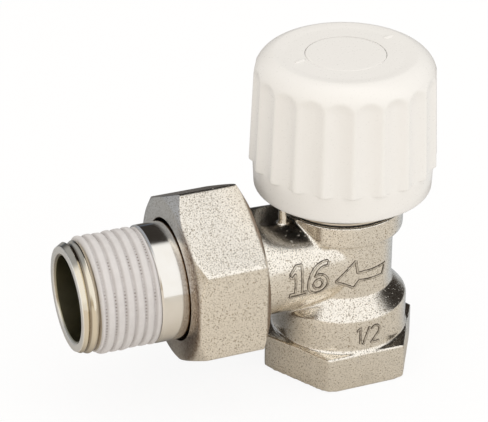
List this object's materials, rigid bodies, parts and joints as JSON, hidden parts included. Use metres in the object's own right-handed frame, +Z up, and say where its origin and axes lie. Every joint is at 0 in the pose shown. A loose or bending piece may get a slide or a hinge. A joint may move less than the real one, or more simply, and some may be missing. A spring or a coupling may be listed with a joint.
{
  "type": "angled radiator valve",
  "caption": "Right-angle radiator valve: nickel-plated body with a female inlet, a white fluted handwheel over a rising disc, and a union nut with a threaded tail.",
  "frame": {"origin": "centre of the inlet's mouth, in the plane of the hexagon's lower face", "axes": "+Z up the spindle axis to the handwheel, -X along the union arm to the tail, Y across"},
  "size_m": [0.0701, 0.0342, 0.0622],
  "materials": {
    "blasted_nickel": "hot-pressed brass, shot-blasted and nickel-plated, satin",
    "polished_nickel": "turned brass, bright nickel plating",
    "turned_brass": "turned brass, bare",
    "steel": "zinc-plated steel",
    "seal_rubber": "black elastomer",
    "sealant": "dry thread sealant coat, matt",
    "ivory_plastic": "moulded plastic, satin"
  },
  "bodies": {
    "valve_body": {"valve_body": "blasted_nickel", "bonnet": "polished_nickel", "bonnet_gasket": "seal_rubber"},
    "handwheel": {"handwheel": "ivory_plastic", "cap_disc": "ivory_plastic", "wheel_screw": "steel", "wheel_washer": "steel", "spindle": "turned_brass", "spindle_o_ring_lower": "seal_rubber", "spindle_o_ring_upper": "seal_rubber", "thrust_washer": "steel", "spindle_clip": "steel"},
    "plug": {"plug": "turned_brass", "disc_seal": "seal_rubber", "disc_washer": "turned_brass", "disc_screw": "turned_brass"},
    "tailpiece": {"tailpiece": "polished_nickel", "thread_sealant": "sealant", "union_gasket": "seal_rubber"},
    "union_nut": {"union_nut": "blasted_nickel"}
  },
  "joints": [
    {"name": "handwheel_turn", "type": "hinge", "parent": "valve_body", "child": "handwheel", "pos_m": [0, 0, 0.045], "axis": [0, 0, 1], "range_deg": [0, 900]},
    {"name": "plug_lift", "type": "slide", "parent": "valve_body", "child": "plug", "axis": [0, 0, 1], "range_m": [0, 0.00375]},
    {"name": "tail_slide", "type": "slide", "parent": "valve_body", "child": "tailpiece", "axis": [-1, 0, 0], "range_m": [0, 0.00726]},
    {"name": "nut_turn", "type": "hinge", "parent": "tailpiece", "child": "union_nut", "pos_m": [-0.027, 0, 0.023], "axis": [-1, 0, 0], "range_deg": [0, 1440]}
  ],
  "couplings": [
    {"joint": "plug_lift", "follows": "handwheel_turn", "m_per_rad": 0.00023873},
    {"joint": "nut_turn", "follows": "tail_slide", "rad_per_m": 3463.7}
  ]
}
